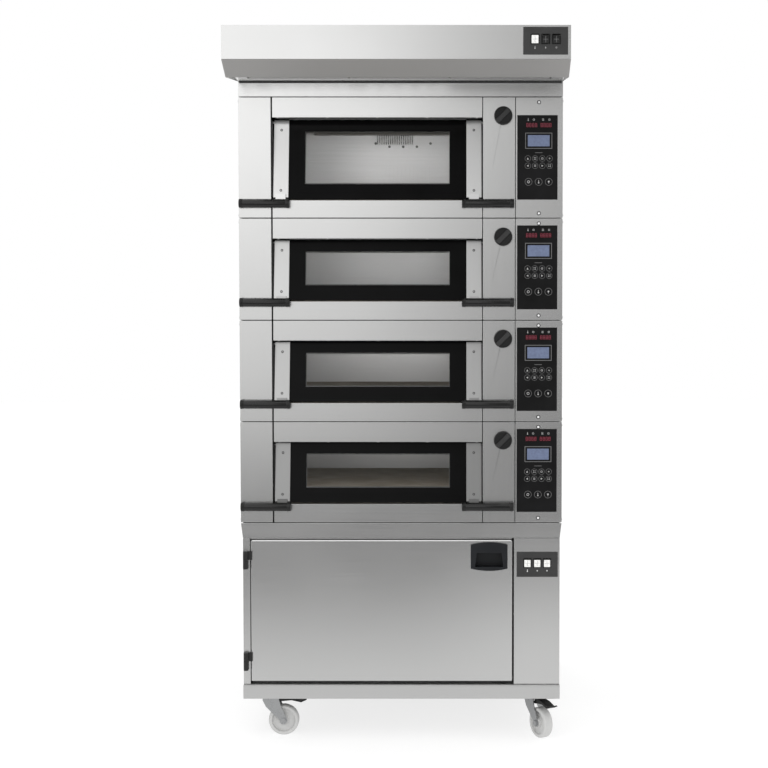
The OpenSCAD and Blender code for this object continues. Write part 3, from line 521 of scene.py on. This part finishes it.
def icon(bm, kind, x, z, s, y):
    """A small generic symbol of half size s."""
    w = 0.0011
    if kind == "up":
        poly(bm, ((x - s * 0.6, z - s * 0.7), (x + s * 0.6, z - s * 0.7), (x, z + s * 0.7)), y, PRINT)
    elif kind == "left":
        poly(bm, ((x + s * 0.5, z - s * 0.7), (x + s * 0.5, z + s * 0.7), (x - s * 0.7, z)), y, PRINT)
    elif kind == "right":
        poly(bm, ((x - s * 0.5, z + s * 0.7), (x - s * 0.5, z - s * 0.7), (x + s * 0.7, z)), y, PRINT)
    elif kind == "dots":
        for i in range(4):
            dx, dz = 1 if i % 2 else -1, 1 if i < 2 else -1
            disc(bm, x + s * 0.5 * dx, z + s * 0.5 * dz, s * 0.28, y, PRINT, 10)
    elif kind == "bars":
        for i in range(3):
            bar(bm, x - s * 0.7, z + (i - 1) * s * 0.55, x + s * 0.7, z + (i - 1) * s * 0.55, w, y, PRINT)
    elif kind == "cross":
        bar(bm, x - s * 0.6, z, x + s * 0.6, z, w, y, PRINT)
        bar(bm, x, z - s * 0.6, x, z + s * 0.6, w, y - PRINT, PRINT)
    elif kind == "ring":
        annulus(bm, x, z, s * 0.45, s * 0.7, y, PRINT, 18)
    elif kind == "lamp":
        disc(bm, x, z + s * 0.15, s * 0.45, y, PRINT, 14)
        bar(bm, x, z - s * 0.85, x, z - s * 0.2, w * 1.3, y - PRINT, PRINT)
    elif kind == "thermo":
        disc(bm, x, z - s * 0.5, s * 0.36, y, PRINT, 14)
        bar(bm, x, z - s * 0.3, x, z + s * 0.9, w * 1.4, y - PRINT, PRINT)


KEY_ICONS = (("up", "dots", "ring", "cross"), ("left", "bars", "right", "dots"))
BIG_ICONS = ("ring", "thermo", "lamp")


def control_panel(d):
    x0, top = PAD_X, d.pad_top
    rings, bright = bmesh.new(), bmesh.new()
    for r in (0, 1):
        for c in range(4):
            x, z = x0 + (c - 1.5) * KEY_PITCH, top - 0.139 - r * KEY_PITCH
            annulus(rings, x, z, 0.0087, 0.0097, KEY_TOP, PRINT)
            icon(bright, KEY_ICONS[r][c], x, z, 0.0048, KEY_TOP)
    for c in (-1, 0, 1):
        x, z = x0 + c * BIG_PITCH, top - 0.214
        annulus(rings, x, z, 0.0108, 0.012, KEY_TOP, PRINT)
        icon(bright, BIG_ICONS[c + 1], x, z, 0.0062, KEY_TOP)
    for x, kind in ((-0.034, "thermo"), (-0.016, "ring"), (0.014, "bars"), (0.034, "ring")):
        icon(bright, kind, x0 + x, top - 0.0145, 0.0046, PAD_FACE)
    bar(rings, x0 - 0.012, top - 0.1205, x0 + 0.012, top - 0.1205, 0.0016, PAD_FACE, PRINT)
    piece(f"deck{d.k}_pad_rings", rings, "mark_dim", "oven_stack")
    piece(f"deck{d.k}_pad_symbols", bright, "mark", "oven_stack")
    bm = bmesh.new()
    frame_bar(bm, (-0.0435, -0.0257, 0.0435, 0.0257), (-0.0412, -0.0234, 0.0412, 0.0234), -0.5 * MM, 0,
              Matrix.Translation((x0, WINDOW_FLOOR, top - 0.082)))
    piece(f"deck{d.k}_display_frame", bm, "mark_dim", "oven_stack", 0.0002)
    bm = bmesh.new()
    box(bm, (x0 - 0.0352, WINDOW_FLOOR - 0.4 * MM, top - 0.1), (x0 + 0.0352, WINDOW_FLOOR, top - 0.064))
    piece(f"deck{d.k}_display", bm, "lcd", "oven_stack", 0.0002)
    back, digits = bmesh.new(), bmesh.new()
    for side in (-0.0225, 0.0235):
        z0 = top - 0.0405
        film = WINDOW_FLOOR - 0.15 * MM
        box(back, (x0 + side - 0.019, film, z0), (x0 + side + 0.019, WINDOW_FLOOR, z0 + 0.017))
        for i in range(4):
            ox, oz, sx, sz = x0 + side - 0.0165 + i * 0.0092, z0 + 0.003, 0.0052, 0.0055
            for a, b, c, e in SEGMENTS:
                bar(digits, ox + a * sx, oz + b * sz, ox + c * sx, oz + e * sz, 0.0014, film, 0.1 * MM)
    piece(f"deck{d.k}_readout_back", back, "led_back", "oven_stack")
    piece(f"deck{d.k}_readout_digits", digits, "led", "oven_stack", smooth=False)


for k in DECKS:
    control_panel(DECK[k])


PIVOT_RISE = 1.1 * MM                    # a rocker's pivot above the middle of its box


def switch_details(name, cad_switch, mark):
    """Dark surrounds of three rockers, and the symbols printed under them."""
    surround, symbols = bmesh.new(), bmesh.new()
    for s in SWITCHES:
        lo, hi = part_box(f"{cad_switch}_{s}")
        x, z = (lo.x + hi.x) / 2, (lo.z + hi.z) / 2
        face = SWITCH_FACE[name]
        # Centred on the rocker's pivot, with room for both of its ends
        frame_bar(surround, (-0.0128, -0.0152, 0.0128, 0.0152), (-0.0107, -0.0136, 0.0107, 0.0136),
                  -1.2 * MM, 0, Matrix.Translation((x, face, z + PIVOT_RISE)))
        icon(symbols, ("thermo", "lamp", "ring")[s - 1], x, z - 0.0245, 0.0046 if s == 1 else 0.0034, face)
    piece(f"{name}_switch_surrounds", surround, "bezel", "oven_stack", 0.0003)
    piece(f"{name}_switch_symbols", symbols, mark, "oven_stack")


HOOD_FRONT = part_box("hood_canopy")[0].y
SWITCH_FACE = {"prover": FRONT - 3 * MM, "hood": HOOD_FRONT - 3 * MM}
switch_details("prover", "prover_switch", "mark_white")
switch_details("hood", "hood_switch", "mark")

# ---------- vent knobs, grips and screws ----------

knob_lo, knob_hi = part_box("deck1_vent_knob")
KNOB_X = (knob_lo.x + knob_hi.x) / 2
KNOB_R = (knob_hi.x - knob_lo.x) / 2
VENT_Y = knob_hi.y - 0.024


def vent_knob(d):
    z = (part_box(f"deck{d.k}_vent_knob")[0].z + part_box(f"deck{d.k}_vent_knob")[1].z) / 2
    front = Matrix.Translation((KNOB_X, FRONT, z)) @ Matrix.Rotation(pi / 2, 4, "X")
    r = KNOB_R
    bm = bmesh.new()
    lathe(bm, [(r, 0.002), (r, 0.006), (r * 0.975, 0.0075), (r * 0.97, 0.018), (r * 0.92, 0.0205),
               (r * 0.86, 0.0205), (r * 0.83, 0.0195), (r * 0.2, 0.0192)], front, 120, 30, 0.0007)
    lathe(bm, [(0.005, knob_lo.y - FRONT + 0.02), (0.005, -(knob_hi.y - FRONT))], front, 20)
    half = 17.4 * MM
    box(bm, (KNOB_X - 0.001, VENT_Y - half, z - half), (KNOB_X + 0.001, VENT_Y + half, z + half))
    knob = piece(f"deck{d.k}_knob", bm, "knob", f"deck{d.k}_vent", 0.0003)
    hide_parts(f"deck{d.k}_vent_knob")
    bm = bmesh.new()
    turn = Matrix.Translation((KNOB_X, FRONT - 0.019, z)) @ Matrix.Rotation(-pi / 4, 4, "Y")
    outline = [(r * 0.9 * cos(a), max(-0.0075, min(0.0075, r * 0.9 * sin(a)))) for a in
               [2 * pi * i / 64 for i in range(64)]]
    loops = []
    for shrink, y in ((1.0, 0.0), (1.0, -0.0038), (0.93, -0.005)):
        loops.append([bm.verts.new(turn @ Vector((x * shrink, y, zz * shrink))) for x, zz in outline])
    ring_faces(bm, loops)
    bm.faces.new(loops[0])
    bm.faces.new(loops[-1])
    piece(f"deck{d.k}_knob_bar", bm, "knob_bar", f"deck{d.k}_vent")


GRIP_Y = FRONT - 16 * MM
GRIP_R = 14 * MM


def grip_caps(d):
    """Moulded end caps on the two grips of a deck's door."""
    bm = bmesh.new()
    z = d.grip_z
    ends = (3 * MM - HALF, DOOR_L + STILE + 4 * MM, DOOR_R - STILE - 14 * MM, VENT_R - 4 * MM)
    for i, x in enumerate(ends):
        way = 1 if i % 2 == 0 else -1
        place = Matrix.Translation((x, GRIP_Y, z)) @ Matrix.Rotation(way * pi / 2, 4, "Y")
        r = GRIP_R
        lathe(bm, [(r * 0.72, -0.0008), (r * 0.95, -0.0004), (r * 1.045, 0.0012), (r * 1.045, 0.0105),
                   (r * 1.0, 0.0118)], place, 40)
    piece(f"deck{d.k}_grip_caps", bm, "grip_cap", f"deck{d.k}_door")


def header_screws(d):
    bm = bmesh.new()
    for i in range(5):
        x = BAY_L + 0.0165 + i * (BAY_R - BAY_L - 0.033) / 4
        screw(bm, (x, FRONT + 0.0065, d.top - HEADER), (0, 0, -1), 0.0042, 0.0020)
    piece(f"deck{d.k}_header_screws", bm, "bright", "oven_stack")


for k in DECKS:
    vent_knob(DECK[k])
    grip_caps(DECK[k])
    header_screws(DECK[k])


SCREW_X = 0.446


def screw_shade_rings():
    """Dark rings round the screws of the control columns, painted shade round each head, with a white dome on
    each as a painted highlight.
    """
    rims, domes = bmesh.new(), bmesh.new()
    for k in DECKS:
        for z in (DECK[k].z0 + 0.0155, DECK[k].top - 0.017):
            annulus(rims, SCREW_X, z, 0.0039, 0.0064, FRONT, 0.5 * MM, 24)
            screw(domes, (SCREW_X, FRONT - 0.9 * MM, z), (0, -1, 0), 0.0039, 0.0014)
    piece("screw_shade_rings", rims, "bezel", "oven_stack")
    piece("screw_domes", domes, "mark_white", "oven_stack")


def hood_gap_shadow():
    """Black strip between the hood's pan and the collar: painted shadow of the gap there."""
    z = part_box("hood_filter")[0].z
    bm = bmesh.new()
    box(bm, (0.004 - HALF, FRONT - 0.004, z - 0.0052), (HALF - 0.004, FRONT - 0.0002, z - 0.0003))
    piece("hood_gap_shadow", bm, "rubber", "oven_stack", 0.0012)


screw_shade_rings()
hood_gap_shadow()


def fan_louvre():
    """Dark bars as the slots of the fan's cover, painted shade of its openings, and its screws, high on the
    back wall of the tall chamber.
    """
    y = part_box("oven_chambers")[1].y - 2.2 * MM
    low, high = DECK[4].top - 0.084, DECK[4].top - 0.0435
    slots, heads = bmesh.new(), bmesh.new()
    # Painted shade: each slot is a dark steel bar just in front of the back wall.
    for i in range(17):
        x = -0.121 + i * 0.0082
        box(slots, (x, y - 0.0008, low), (x + 0.004, y, high))
    for i in range(5):
        x, z = -0.126 + i * 0.0518, low + (0.004 if i in (0, 4) else -0.008)
        screw(heads, (x, y, z), (0, -1, 0), 0.005, 0.002)
    piece("fan_louvre_slots", slots, "dark_screw", "oven_stack")
    piece("fan_louvre_screws", heads, "dark_screw", "oven_stack")


fan_louvre()


def door_lip():
    """Folded lip along the top of the cabinet's door."""
    lo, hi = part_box("prover_door_panel")
    bm = bmesh.new()
    place = Matrix.Translation((0, lo.y + 0.0006, hi.z - 0.0006)) @ Matrix.Rotation(radians(-30), 4, "X")
    box(bm, (lo.x + 0.003, 0, 0), (hi.x - 0.003, 0.001, 0.0036), place)
    piece("prover_door_lip", bm, "bright", "prover_door", 0.0003)


door_lip()


def rocker_lines(name, plate_y, material):
    """Fine moulded lines that cross on the face of each rocker."""
    for s in SWITCHES:
        lo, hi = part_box(f"{name}_switch_{s}")
        lean = Matrix.Translation(((lo.x + hi.x) / 2, plate_y + MM, (lo.z + hi.z) / 2 + PIVOT_RISE)) \
            @ Matrix.Rotation(radians(8), 4, "X")
        bm = bmesh.new()
        box(bm, (-0.0075, -0.00655, -0.0006), (0.0075, -0.0063, 0.0006), lean)
        for way in (-1, 1):
            half = lean @ Matrix.Translation((0, -0.0064, 0)) @ Matrix.Rotation(way * radians(7.6), 4, "X")
            box(bm, (-0.0007, -0.00018, min(0, way * 0.0095)), (0.0007, 0.0001, max(0, way * 0.0095)), half)
        piece(f"{name}_rocker_{s}_lines", bm, material[s - 1], f"{name}_rocker_{s}")


rocker_lines("prover", FRONT, ("mark", "mark", "mark"))
rocker_lines("hood", HOOD_FRONT, ("mark", "mark_dim", "mark_dim"))


def panel_screws():
    """Screws along the top and bottom edges of the back panels."""
    bm = bmesh.new()
    for k in DECKS:
        d = DECK[k]
        for z in (d.z0 + 0.022, d.top - 0.022):
            for i in range(7):
                screw(bm, (-0.48 + i * 0.16, BACK, z), (0, 1, 0), 0.0045, 0.0026)
    lo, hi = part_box("prover_casing")
    for z in (lo.z + 0.03, hi.z - 0.03):
        for i in range(7):
            screw(bm, (-0.48 + i * 0.16, BACK, z), (0, 1, 0), 0.0045, 0.0026)
    piece("back_screws", bm, "bright", "oven_stack")


panel_screws()

# ---------- studio ----------


def card(name, lo, hi, color_of, camera=False):
    """A light card that only reflections see: a flat panel with a soft gradient over it."""
    bm = bmesh.new()
    flat = 1 if abs(hi[1] - lo[1]) < 1e-6 else 2
    if flat == 1:
        pts = ((lo[0], lo[1], lo[2]), (hi[0], lo[1], lo[2]), (hi[0], lo[1], hi[2]), (lo[0], lo[1], hi[2]))
    else:
        pts = ((lo[0], lo[1], lo[2]), (hi[0], lo[1], lo[2]), (hi[0], hi[1], lo[2]), (lo[0], hi[1], lo[2]))
    bm.faces.new([bm.verts.new(p) for p in pts])
    mesh = bpy.data.meshes.new(name)
    bm.to_mesh(mesh)
    bm.free()
    o = bpy.data.objects.new(name, mesh)
    bpy.context.scene.collection.objects.link(o)
    m, t = blank(name)
    place = node(t, "TexCoord").outputs["Object"]
    strength = color_of(t, node(t, "SeparateXYZ", Vector=place))
    glow = node(t, "Emission", Strength=strength)
    t.links.new(glow.outputs[0], node(t, "OutputMaterial").inputs[0])
    mesh.materials.append(m)
    o.visible_camera = camera
    o.visible_diffuse = False
    o.visible_transmission = False
    o.visible_shadow = False
    return o


def between(t, value, x0, x1, y0, y1):
    step = node(t, "MapRange", interpolation_type="SMOOTHSTEP", Value=value, I1=x0, I2=x1, I3=y0, I4=y1)
    return step.outputs[0]


def front_card(t, xyz):
    """Bright at the upper left, darker to the right and downwards."""
    across = between(t, xyz.outputs[0], -0.7, 0.7, 1.12, 0.42)
    up = math(t, "ADD", between(t, xyz.outputs[2], -0.3, 0.8, 0.16, 0.74),
              between(t, xyz.outputs[2], 1.3, 2.3, 0.0, 0.40))
    up = math(t, "SUBTRACT", up, between(t, xyz.outputs[2], 1.1, 1.3, 0.0, 0.06))
    up = math(t, "SUBTRACT", up, between(t, xyz.outputs[2], 3.0, 4.6, 0.0, 0.42))
    return math(t, "MULTIPLY", across, up)


def floor_card(t, xyz):
    """Dark far in front of the stack, lighter close to it."""
    near = between(t, xyz.outputs[1], -4.4, -1.0, 0.085, 0.68)
    near = math(t, "SUBTRACT", near, between(t, xyz.outputs[1], -0.7, 0.2, 0.0, 0.26))
    side = math(t, "SUBTRACT", between(t, xyz.outputs[1], -6.0, -2.8, 0.06, 0.20),
                between(t, xyz.outputs[1], -2.2, -1.1, 0.0, 0.18))
    return math(t, "ADD", near, math(t, "MULTIPLY", side, between(t, xyz.outputs[0], 0.0, 0.5, 0.0, 1.0)))


def collar_card(t, xyz):
    """Soft light behind the hood's lip, brighter to the left."""
    return between(t, xyz.outputs[0], -0.45, 0.6, 1.3, 0.32)


card("front_card", (-7, -6.4, 0.0), (7, -6.4, 7.0), front_card)
card("floor_card", (-7, -6.4, 0.001), (7, 6.4, 0.001), floor_card)
card("collar_card", (-0.52, FRONT - 0.235, 2.124), (0.52, FRONT - 0.235, 2.1455), collar_card)


def floor():
    bm = bmesh.new()
    lathe(bm, [(14.0, -0.02), (14.0, 0.0)], Matrix.Identity(4), 96)
    mesh = bpy.data.meshes.new("floor")
    bm.to_mesh(mesh)
    bm.free()
    o = bpy.data.objects.new("floor", mesh)
    bpy.context.scene.collection.objects.link(o)
    m, t = blank("pale_floor")
    place = node(t, "TexCoord").outputs["Object"]
    mottle = node(t, "TexNoise", Vector=place, Scale=3.0, Detail=3.0).outputs[0]
    color = ramp(t, mottle, grey(0.36), grey(0.38))
    finish_material(m, t, color, 0.9, Emission_Color=(1, 1, 1, 1), Emission_Strength=0.68)
    mesh.materials.append(m)


floor()


def area(name, at, to, size, power, color=(1, 1, 1), shape="RECTANGLE", size_y=None):
    light = bpy.data.lights.new(name, "AREA")
    light.shape = shape
    light.size = size
    light.size_y = size_y or size
    light.energy = power
    light.color = color
    o = bpy.data.objects.new(name, light)
    bpy.context.scene.collection.objects.link(o)
    o.location = at
    o.rotation_euler = (Vector(to) - Vector(at)).to_track_quat("-Z", "Y").to_euler()
    return o


area("key", (-2.6, -4.2, 4.2), (0, 0, 1.2), 2.4, 30).visible_glossy = False
hood_glow = area("hood_lamp", (-0.16, -0.62, 2.15), (-0.16, FRONT, 2.125), 0.66, 0.07, size_y=0.03)
hood_glow.visible_camera = False
LAMP_POWER = {1: 0.65, 2: 0.95, 3: 0.8, 4: 1.1}
for k in DECKS:
    d = DECK[k]
    at, to = (-0.076, FRONT + 0.14, d.top - 0.092), (-0.076, FRONT + 0.75, d.z0 + 0.1)
    lamp = area(f"chamber_lamp_{k}", at, to, 0.5, LAMP_POWER[k], size_y=0.03)
    lamp.visible_camera = False

world = bpy.data.worlds.new("studio")
bpy.context.scene.world = world
world.use_nodes = True
world.node_tree.nodes["Background"].inputs["Color"].default_value = (1, 1, 1, 1)
world.node_tree.nodes["Background"].inputs["Strength"].default_value = 1.0

camera = bpy.data.cameras.new("camera")
camera.sensor_width = 36.0
camera.lens = 77.7
camera.shift_x = -0.097
camera.shift_y = -0.039
view = bpy.data.objects.new("camera", camera)
view.location = (0.1866, -5.746, 1.546)
view.rotation_euler = (radians(90 - 2.96), 0, 0)
bpy.context.scene.collection.objects.link(view)
bpy.context.scene.camera = view
bpy.context.scene.view_settings.view_transform = "Standard"
